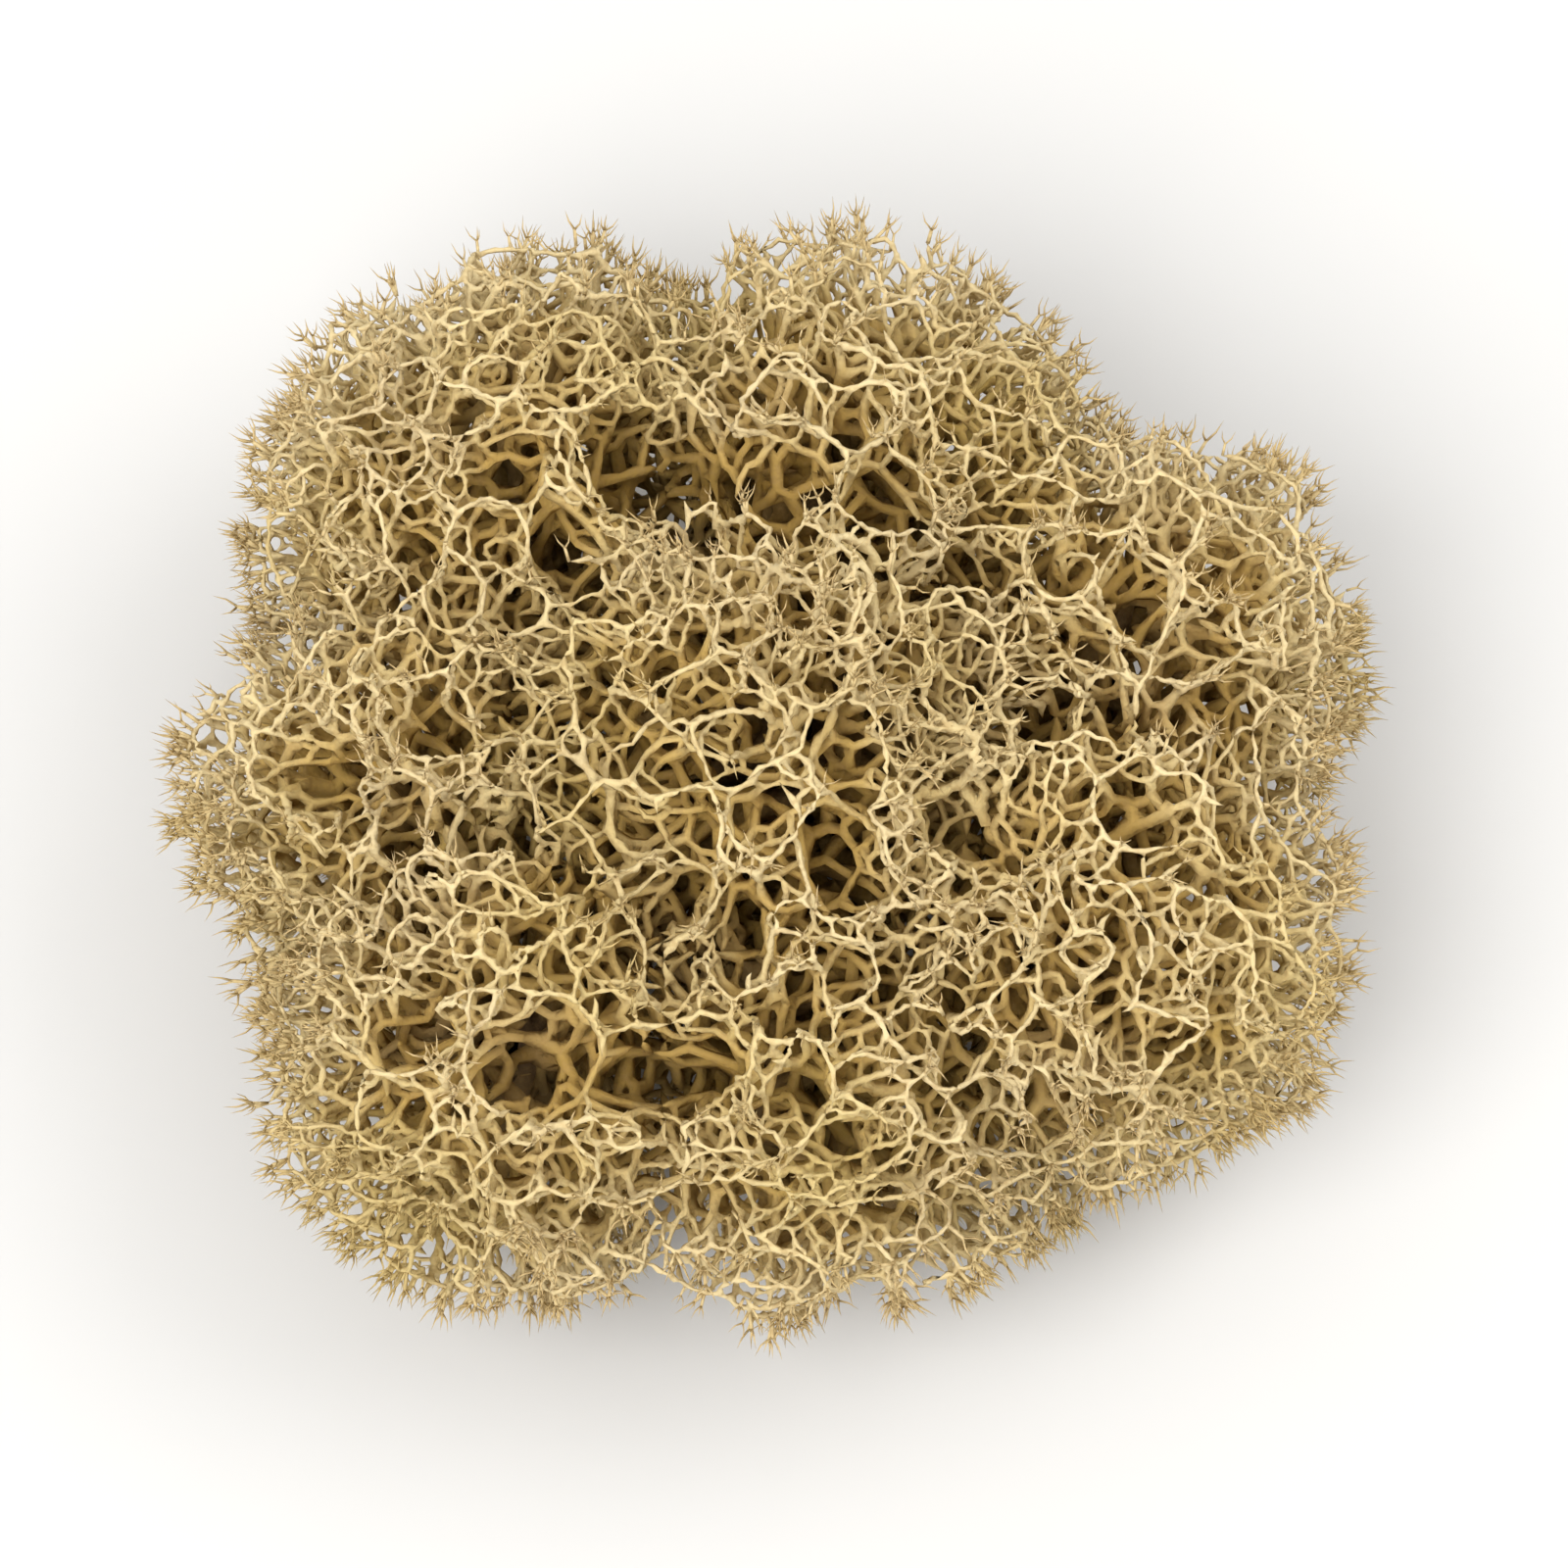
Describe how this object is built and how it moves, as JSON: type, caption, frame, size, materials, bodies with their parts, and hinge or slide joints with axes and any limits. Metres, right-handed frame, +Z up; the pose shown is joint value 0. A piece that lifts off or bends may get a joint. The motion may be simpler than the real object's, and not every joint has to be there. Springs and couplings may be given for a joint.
{
  "type": "preserved reindeer moss clump",
  "caption": "Cushion of dried, straw-coloured reindeer lichen: dense heads of forked branches in an open net, resting on their cut stalks.",
  "frame": {"origin": "middle of the cut face under the middle head's main stalk, on the surface that the clump rests on", "axes": "+Z up, towards the crowns of the heads; -Y is the side that faces the picture's viewer; +X is the viewer's right"},
  "size_m": [0.0625, 0.0603, 0.0354],
  "materials": {
    "lichen": "dull dry straw colour, browner inside and at the fine tips"
  },
  "bodies": {
    "root": {"head_middle": "lichen", "head_right": "lichen", "head_back": "lichen", "head_back_left": "lichen", "head_left": "lichen", "head_front_left": "lichen", "head_front": "lichen", "head_front_right": "lichen"}
  },
  "joints": []
}
